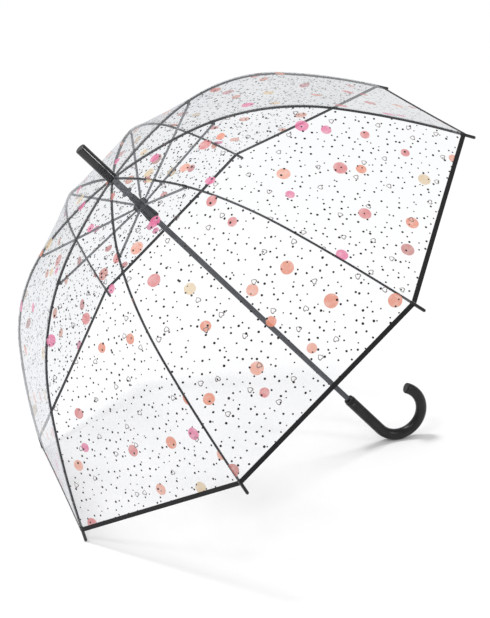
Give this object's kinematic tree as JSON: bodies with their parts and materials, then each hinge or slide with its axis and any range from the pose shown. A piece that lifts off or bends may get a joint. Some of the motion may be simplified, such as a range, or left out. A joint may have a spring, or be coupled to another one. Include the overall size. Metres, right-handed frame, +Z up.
{
  "type": "clear dome umbrella",
  "caption": "Clear dome umbrella with printed film gores, sliding runner, folding ribs and stretchers, long ferrule and crook handle, standing open on its rib tips and crook.",
  "frame": {"origin": "centre of the footprint on the floor, under the open umbrella as it stands on two rib tips and the crook", "axes": "+Z up; +X level, from the crown's side towards the handle; +Y level, across the canopy"},
  "size_m": [0.7416, 0.9442, 0.6978],
  "materials": {
    "film": "clear soft film, printed with small dots, round spots and hearts",
    "black_metal": "black enamel, satin",
    "black_gloss": "moulded gloss",
    "black_satin": "moulded satin",
    "grey_plastic": "moulded satin",
    "bright_wire": "drawn wire",
    "spring_steel": "sheet spring steel",
    "rib_rod": "dark glass-fibre rod",
    "grey_metal": "dark enamel on folded steel"
  },
  "bodies": {
    "shaft_assembly": {"shaft": "black_metal", "ferrule": "black_gloss", "crown_notch": "grey_plastic", "notch_wire": "bright_wire", "stop_sleeve": "grey_plastic", "handle": "black_satin", "grip_collar": "black_satin"},
    "runner": {"runner": "grey_plastic", "runner_wire": "bright_wire"},
    "top_catch": {"top_catch": "spring_steel"},
    "bottom_catch": {"bottom_catch": "spring_steel"},
    "release_button": {"release_button": "black_gloss"},
    "rib_inner_1": {"rib_inner_1": "rib_rod"},
    "rib_outer_1": {"rib_outer_1": "rib_rod", "rib_tip_1": "black_gloss"},
    "stretcher_1": {"stretcher_1": "grey_metal"},
    "gore_upper_1": {"gore_upper_1": "film"},
    "gore_lower_1": {"gore_lower_1": "film"},
    "rib_inner_2": {"rib_inner_2": "rib_rod"},
    "rib_outer_2": {"rib_outer_2": "rib_rod", "rib_tip_2": "black_gloss"},
    "stretcher_2": {"stretcher_2": "grey_metal"},
    "gore_upper_2": {"gore_upper_2": "film"},
    "gore_lower_2": {"gore_lower_2": "film"},
    "rib_inner_3": {"rib_inner_3": "rib_rod"},
    "rib_outer_3": {"rib_outer_3": "rib_rod", "rib_tip_3": "black_gloss"},
    "stretcher_3": {"stretcher_3": "grey_metal"},
    "gore_upper_3": {"gore_upper_3": "film"},
    "gore_lower_3": {"gore_lower_3": "film"},
    "rib_inner_4": {"rib_inner_4": "rib_rod"},
    "rib_outer_4": {"rib_outer_4": "rib_rod", "rib_tip_4": "black_gloss"},
    "stretcher_4": {"stretcher_4": "grey_metal"},
    "gore_upper_4": {"gore_upper_4": "film"},
    "gore_lower_4": {"gore_lower_4": "film"},
    "rib_inner_5": {"rib_inner_5": "rib_rod"},
    "rib_outer_5": {"rib_outer_5": "rib_rod", "rib_tip_5": "black_gloss"},
    "stretcher_5": {"stretcher_5": "grey_metal"},
    "gore_upper_5": {"gore_upper_5": "film"},
    "gore_lower_5": {"gore_lower_5": "film"},
    "rib_inner_6": {"rib_inner_6": "rib_rod"},
    "rib_outer_6": {"rib_outer_6": "rib_rod", "rib_tip_6": "black_gloss"},
    "stretcher_6": {"stretcher_6": "grey_metal"},
    "gore_upper_6": {"gore_upper_6": "film"},
    "gore_lower_6": {"gore_lower_6": "film"},
    "rib_inner_7": {"rib_inner_7": "rib_rod"},
    "rib_outer_7": {"rib_outer_7": "rib_rod", "rib_tip_7": "black_gloss"},
    "stretcher_7": {"stretcher_7": "grey_metal"},
    "gore_upper_7": {"gore_upper_7": "film"},
    "gore_lower_7": {"gore_lower_7": "film"},
    "rib_inner_8": {"rib_inner_8": "rib_rod"},
    "rib_outer_8": {"rib_outer_8": "rib_rod", "rib_tip_8": "black_gloss"},
    "stretcher_8": {"stretcher_8": "grey_metal"},
    "gore_upper_8": {"gore_upper_8": "film"},
    "gore_lower_8": {"gore_lower_8": "film"}
  },
  "joints": [
    {"name": "runner_slide", "type": "slide", "parent": "shaft_assembly", "child": "runner", "axis": [0.6684, 0, -0.7438], "range_m": [0, 0.309]},
    {"name": "top_catch_press", "type": "slide", "parent": "shaft_assembly", "child": "top_catch", "axis": [0, -1, 0], "range_m": [0, 0.002], "stiffness_N_per_m": 600, "springref_m": -0.001},
    {"name": "release_button_press", "type": "slide", "parent": "shaft_assembly", "child": "release_button", "axis": [0, 1, 0], "range_m": [0, 0.002], "stiffness_N_per_m": 600, "springref_m": -0.001},
    {"name": "bottom_catch_press", "type": "slide", "parent": "shaft_assembly", "child": "bottom_catch", "axis": [0, -1, 0], "range_m": [0, 0.002], "stiffness_N_per_m": 300, "springref_m": -0.001},
    {"name": "rib_hinge_1", "type": "hinge", "parent": "shaft_assembly", "child": "rib_inner_1", "pos_m": [-0.20478, 0.00325, 0.57453], "axis": [-0.2846, 0.9239, -0.2558], "range_deg": [0, 71.07]},
    {"name": "rib_flex_1", "type": "hinge", "parent": "rib_inner_1", "child": "rib_outer_1", "pos_m": [0.0428, 0.11248, 0.69356], "axis": [-0.2846, 0.9239, -0.2558], "range_deg": [-31.29, 0]},
    {"name": "stretcher_pivot_1", "type": "hinge", "parent": "rib_inner_1", "child": "stretcher_1", "pos_m": [-0.05213, 0.07586, 0.66693], "axis": [-0.2846, 0.9239, -0.2558], "range_deg": [-142.27, 0]},
    {"name": "gore_hinge_1", "type": "hinge", "parent": "shaft_assembly", "child": "gore_upper_1", "pos_m": [-0.20649, 0.00555, 0.573], "axis": [-0.5259, 0.7071, -0.4726], "range_deg": [0, 69.56], "deforming": ["gore_upper_1"]},
    {"name": "gore_fold_1", "type": "hinge", "parent": "gore_upper_1", "child": "gore_lower_1", "pos_m": [-0.01636, 0.19202, 0.6404], "axis": [-0.5259, 0.7071, -0.4726], "range_deg": [-32.44, 0], "deforming": ["gore_lower_1"]},
    {"name": "rib_hinge_2", "type": "hinge", "parent": "shaft_assembly", "child": "rib_inner_2", "pos_m": [-0.2082, 0.00785, 0.57146], "axis": [-0.6872, 0.3827, -0.6175], "range_deg": [0, 71.07]},
    {"name": "rib_flex_2", "type": "hinge", "parent": "rib_inner_2", "child": "rib_outer_2", "pos_m": [-0.07552, 0.27156, 0.58724], "axis": [-0.6872, 0.3827, -0.6175], "range_deg": [-31.29, 0]},
    {"name": "stretcher_pivot_2", "type": "hinge", "parent": "rib_inner_2", "child": "stretcher_2", "pos_m": [-0.13193, 0.18315, 0.59522], "axis": [-0.6872, 0.3827, -0.6175], "range_deg": [-142.27, 0]},
    {"name": "gore_hinge_2", "type": "hinge", "parent": "shaft_assembly", "child": "gore_upper_2", "pos_m": [-0.21062, 0.00785, 0.56928], "axis": [-0.7438, 0, -0.6684], "range_deg": [0, 69.56], "deforming": ["gore_upper_2"]},
    {"name": "gore_fold_2", "type": "hinge", "parent": "gore_upper_2", "child": "gore_lower_2", "pos_m": [-0.15918, 0.27156, 0.51205], "axis": [-0.7438, 0, -0.6684], "range_deg": [-32.44, 0], "deforming": ["gore_lower_2"]},
    {"name": "rib_hinge_3", "type": "hinge", "parent": "shaft_assembly", "child": "rib_inner_3", "pos_m": [-0.21304, 0.00785, 0.56711], "axis": [-0.6872, -0.3827, -0.6175], "range_deg": [0, 71.07]},
    {"name": "rib_flex_3", "type": "hinge", "parent": "rib_inner_3", "child": "rib_outer_3", "pos_m": [-0.24285, 0.27156, 0.43686], "axis": [-0.6872, -0.3827, -0.6175], "range_deg": [-31.29, 0]},
    {"name": "stretcher_pivot_3", "type": "hinge", "parent": "rib_inner_3", "child": "stretcher_3", "pos_m": [-0.24479, 0.18315, 0.4938], "axis": [-0.6872, -0.3827, -0.6175], "range_deg": [-142.27, 0]},
    {"name": "gore_hinge_3", "type": "hinge", "parent": "shaft_assembly", "child": "gore_upper_3", "pos_m": [-0.21475, 0.00555, 0.56557], "axis": [-0.5259, -0.7071, -0.4726], "range_deg": [0, 69.56], "deforming": ["gore_upper_3"]},
    {"name": "gore_fold_3", "type": "hinge", "parent": "gore_upper_3", "child": "gore_lower_3", "pos_m": [-0.30201, 0.19202, 0.3837], "axis": [-0.5259, -0.7071, -0.4726], "range_deg": [-32.44, 0], "deforming": ["gore_lower_3"]},
    {"name": "rib_hinge_4", "type": "hinge", "parent": "shaft_assembly", "child": "rib_inner_4", "pos_m": [-0.21646, 0.00325, 0.56404], "axis": [-0.2846, -0.9239, -0.2558], "range_deg": [0, 71.07]},
    {"name": "rib_flex_4", "type": "hinge", "parent": "rib_inner_4", "child": "rib_outer_4", "pos_m": [-0.36117, 0.11248, 0.33053], "axis": [-0.2846, -0.9239, -0.2558], "range_deg": [-31.29, 0]},
    {"name": "stretcher_pivot_4", "type": "hinge", "parent": "rib_inner_4", "child": "stretcher_4", "pos_m": [-0.32459, 0.07586, 0.42209], "axis": [-0.2846, -0.9239, -0.2558], "range_deg": [-142.27, 0]},
    {"name": "gore_hinge_4", "type": "hinge", "parent": "shaft_assembly", "child": "gore_upper_4", "pos_m": [-0.21646, 0, 0.56404], "axis": [0, -1, 0], "range_deg": [0, 69.56], "deforming": ["gore_upper_4"]},
    {"name": "gore_fold_4", "type": "hinge", "parent": "gore_upper_4", "child": "gore_lower_4", "pos_m": [-0.36117, 0, 0.33053], "axis": [0, -1, 0], "range_deg": [-32.44, 0], "deforming": ["gore_lower_4"]},
    {"name": "rib_hinge_5", "type": "hinge", "parent": "shaft_assembly", "child": "rib_inner_5", "pos_m": [-0.21646, -0.00325, 0.56404], "axis": [0.2846, -0.9239, 0.2558], "range_deg": [0, 71.07]},
    {"name": "rib_flex_5", "type": "hinge", "parent": "rib_inner_5", "child": "rib_outer_5", "pos_m": [-0.36117, -0.11248, 0.33053], "axis": [0.2846, -0.9239, 0.2558], "range_deg": [-31.29, 0]},
    {"name": "stretcher_pivot_5", "type": "hinge", "parent": "rib_inner_5", "child": "stretcher_5", "pos_m": [-0.32459, -0.07586, 0.42209], "axis": [0.2846, -0.9239, 0.2558], "range_deg": [-142.27, 0]},
    {"name": "gore_hinge_5", "type": "hinge", "parent": "shaft_assembly", "child": "gore_upper_5", "pos_m": [-0.21475, -0.00555, 0.56557], "axis": [0.5259, -0.7071, 0.4726], "range_deg": [0, 69.56], "deforming": ["gore_upper_5"]},
    {"name": "gore_fold_5", "type": "hinge", "parent": "gore_upper_5", "child": "gore_lower_5", "pos_m": [-0.30201, -0.19202, 0.3837], "axis": [0.5259, -0.7071, 0.4726], "range_deg": [-32.44, 0], "deforming": ["gore_lower_5"]},
    {"name": "rib_hinge_6", "type": "hinge", "parent": "shaft_assembly", "child": "rib_inner_6", "pos_m": [-0.21304, -0.00785, 0.56711], "axis": [0.6872, -0.3827, 0.6175], "range_deg": [0, 71.07]},
    {"name": "rib_flex_6", "type": "hinge", "parent": "rib_inner_6", "child": "rib_outer_6", "pos_m": [-0.24285, -0.27156, 0.43686], "axis": [0.6872, -0.3827, 0.6175], "range_deg": [-31.29, 0]},
    {"name": "stretcher_pivot_6", "type": "hinge", "parent": "rib_inner_6", "child": "stretcher_6", "pos_m": [-0.24479, -0.18315, 0.4938], "axis": [0.6872, -0.3827, 0.6175], "range_deg": [-142.27, 0]},
    {"name": "gore_hinge_6", "type": "hinge", "parent": "shaft_assembly", "child": "gore_upper_6", "pos_m": [-0.21062, -0.00785, 0.56928], "axis": [0.7438, 0, 0.6684], "range_deg": [0, 69.56], "deforming": ["gore_upper_6"]},
    {"name": "gore_fold_6", "type": "hinge", "parent": "gore_upper_6", "child": "gore_lower_6", "pos_m": [-0.15918, -0.27156, 0.51205], "axis": [0.7438, 0, 0.6684], "range_deg": [-32.44, 0], "deforming": ["gore_lower_6"]},
    {"name": "rib_hinge_7", "type": "hinge", "parent": "shaft_assembly", "child": "rib_inner_7", "pos_m": [-0.2082, -0.00785, 0.57146], "axis": [0.6872, 0.3827, 0.6175], "range_deg": [0, 71.07]},
    {"name": "rib_flex_7", "type": "hinge", "parent": "rib_inner_7", "child": "rib_outer_7", "pos_m": [-0.07552, -0.27156, 0.58724], "axis": [0.6872, 0.3827, 0.6175], "range_deg": [-31.29, 0]},
    {"name": "stretcher_pivot_7", "type": "hinge", "parent": "rib_inner_7", "child": "stretcher_7", "pos_m": [-0.13193, -0.18315, 0.59522], "axis": [0.6872, 0.3827, 0.6175], "range_deg": [-142.27, 0]},
    {"name": "gore_hinge_7", "type": "hinge", "parent": "shaft_assembly", "child": "gore_upper_7", "pos_m": [-0.20649, -0.00555, 0.573], "axis": [0.5259, 0.7071, 0.4726], "range_deg": [0, 69.56], "deforming": ["gore_upper_7"]},
    {"name": "gore_fold_7", "type": "hinge", "parent": "gore_upper_7", "child": "gore_lower_7", "pos_m": [-0.01636, -0.19202, 0.6404], "axis": [0.5259, 0.7071, 0.4726], "range_deg": [-32.44, 0], "deforming": ["gore_lower_7"]},
    {"name": "rib_hinge_8", "type": "hinge", "parent": "shaft_assembly", "child": "rib_inner_8", "pos_m": [-0.20478, -0.00325, 0.57453], "axis": [0.2846, 0.9239, 0.2558], "range_deg": [0, 71.07]},
    {"name": "rib_flex_8", "type": "hinge", "parent": "rib_inner_8", "child": "rib_outer_8", "pos_m": [0.0428, -0.11248, 0.69356], "axis": [0.2846, 0.9239, 0.2558], "range_deg": [-31.29, 0]},
    {"name": "stretcher_pivot_8", "type": "hinge", "parent": "rib_inner_8", "child": "stretcher_8", "pos_m": [-0.05213, -0.07586, 0.66693], "axis": [0.2846, 0.9239, 0.2558], "range_deg": [-142.27, 0]},
    {"name": "gore_hinge_8", "type": "hinge", "parent": "shaft_assembly", "child": "gore_upper_8", "pos_m": [-0.20478, 0, 0.57453], "axis": [0, 1, 0], "range_deg": [0, 69.56], "deforming": ["gore_upper_8"]},
    {"name": "gore_fold_8", "type": "hinge", "parent": "gore_upper_8", "child": "gore_lower_8", "pos_m": [0.0428, 0, 0.69356], "axis": [0, 1, 0], "range_deg": [-32.44, 0], "deforming": ["gore_lower_8"]}
  ],
  "couplings": [
    {"joint": "bottom_catch_press", "follows": "release_button_press", "ratio": 1},
    {"joint": "rib_hinge_1", "follows": "runner_slide", "rad_per_m": 4.0129},
    {"joint": "rib_flex_1", "follows": "runner_slide", "rad_per_m": -1.7664},
    {"joint": "stretcher_pivot_1", "follows": "runner_slide", "rad_per_m": -8.0346},
    {"joint": "gore_hinge_1", "follows": "runner_slide", "rad_per_m": 3.9278},
    {"joint": "gore_fold_1", "follows": "runner_slide", "rad_per_m": -1.8313},
    {"joint": "rib_hinge_2", "follows": "runner_slide", "rad_per_m": 4.0129},
    {"joint": "rib_flex_2", "follows": "runner_slide", "rad_per_m": -1.7664},
    {"joint": "stretcher_pivot_2", "follows": "runner_slide", "rad_per_m": -8.0346},
    {"joint": "gore_hinge_2", "follows": "runner_slide", "rad_per_m": 3.9278},
    {"joint": "gore_fold_2", "follows": "runner_slide", "rad_per_m": -1.8313},
    {"joint": "rib_hinge_3", "follows": "runner_slide", "rad_per_m": 4.0129},
    {"joint": "rib_flex_3", "follows": "runner_slide", "rad_per_m": -1.7664},
    {"joint": "stretcher_pivot_3", "follows": "runner_slide", "rad_per_m": -8.0346},
    {"joint": "gore_hinge_3", "follows": "runner_slide", "rad_per_m": 3.9278},
    {"joint": "gore_fold_3", "follows": "runner_slide", "rad_per_m": -1.8313},
    {"joint": "rib_hinge_4", "follows": "runner_slide", "rad_per_m": 4.0129},
    {"joint": "rib_flex_4", "follows": "runner_slide", "rad_per_m": -1.7664},
    {"joint": "stretcher_pivot_4", "follows": "runner_slide", "rad_per_m": -8.0346},
    {"joint": "gore_hinge_4", "follows": "runner_slide", "rad_per_m": 3.9278},
    {"joint": "gore_fold_4", "follows": "runner_slide", "rad_per_m": -1.8313},
    {"joint": "rib_hinge_5", "follows": "runner_slide", "rad_per_m": 4.0129},
    {"joint": "rib_flex_5", "follows": "runner_slide", "rad_per_m": -1.7664},
    {"joint": "stretcher_pivot_5", "follows": "runner_slide", "rad_per_m": -8.0346},
    {"joint": "gore_hinge_5", "follows": "runner_slide", "rad_per_m": 3.9278},
    {"joint": "gore_fold_5", "follows": "runner_slide", "rad_per_m": -1.8313},
    {"joint": "rib_hinge_6", "follows": "runner_slide", "rad_per_m": 4.0129},
    {"joint": "rib_flex_6", "follows": "runner_slide", "rad_per_m": -1.7664},
    {"joint": "stretcher_pivot_6", "follows": "runner_slide", "rad_per_m": -8.0346},
    {"joint": "gore_hinge_6", "follows": "runner_slide", "rad_per_m": 3.9278},
    {"joint": "gore_fold_6", "follows": "runner_slide", "rad_per_m": -1.8313},
    {"joint": "rib_hinge_7", "follows": "runner_slide", "rad_per_m": 4.0129},
    {"joint": "rib_flex_7", "follows": "runner_slide", "rad_per_m": -1.7664},
    {"joint": "stretcher_pivot_7", "follows": "runner_slide", "rad_per_m": -8.0346},
    {"joint": "gore_hinge_7", "follows": "runner_slide", "rad_per_m": 3.9278},
    {"joint": "gore_fold_7", "follows": "runner_slide", "rad_per_m": -1.8313},
    {"joint": "rib_hinge_8", "follows": "runner_slide", "rad_per_m": 4.0129},
    {"joint": "rib_flex_8", "follows": "runner_slide", "rad_per_m": -1.7664},
    {"joint": "stretcher_pivot_8", "follows": "runner_slide", "rad_per_m": -8.0346},
    {"joint": "gore_hinge_8", "follows": "runner_slide", "rad_per_m": 3.9278},
    {"joint": "gore_fold_8", "follows": "runner_slide", "rad_per_m": -1.8313}
  ]
}
